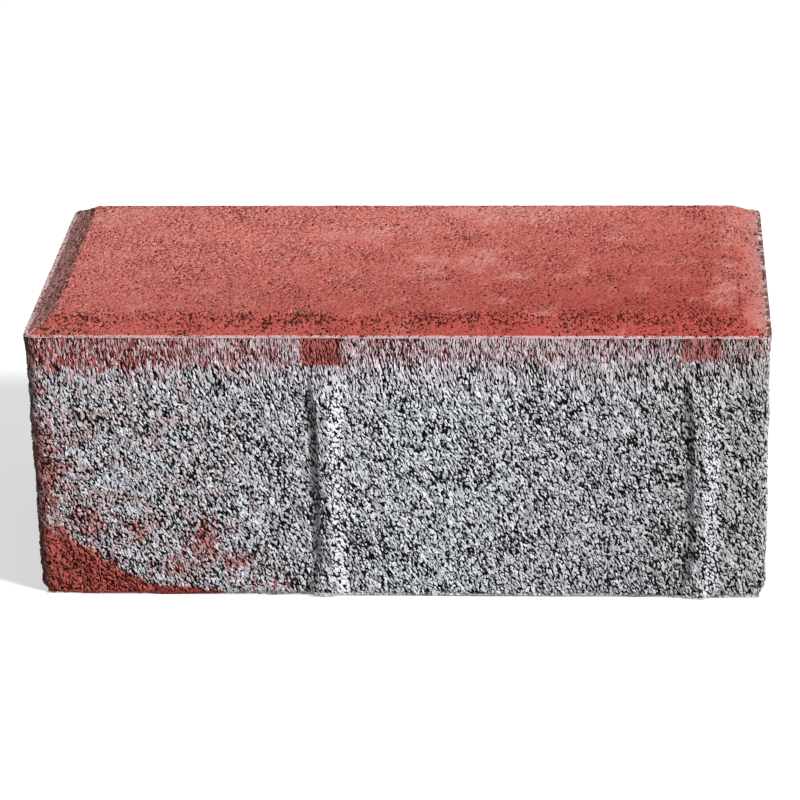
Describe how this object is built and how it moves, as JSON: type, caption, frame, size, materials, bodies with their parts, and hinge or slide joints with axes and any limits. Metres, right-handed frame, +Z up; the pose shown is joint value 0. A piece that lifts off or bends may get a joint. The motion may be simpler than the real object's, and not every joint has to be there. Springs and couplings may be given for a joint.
{
  "type": "concrete paving stone",
  "caption": "Rectangular pressed concrete paving stone with a red facing layer over a grey body, a chamfered top edge and spacer nibs down its sides, laid on a sand bed.",
  "frame": {"origin": "centre of the bed face, at the level that the stone rests on", "axes": "+X along the stone, +Y across it away from the side in the picture, +Z up to the red wearing face"},
  "size_m": [0.202, 0.102, 0.08],
  "materials": {
    "facing_mix": "matt, fine-grained, iron-oxide red",
    "backing_mix": "matt, open-textured, cement grey"
  },
  "bodies": {
    "root": {"facing_layer": "facing_mix", "backing_concrete": "backing_mix"}
  },
  "joints": []
}
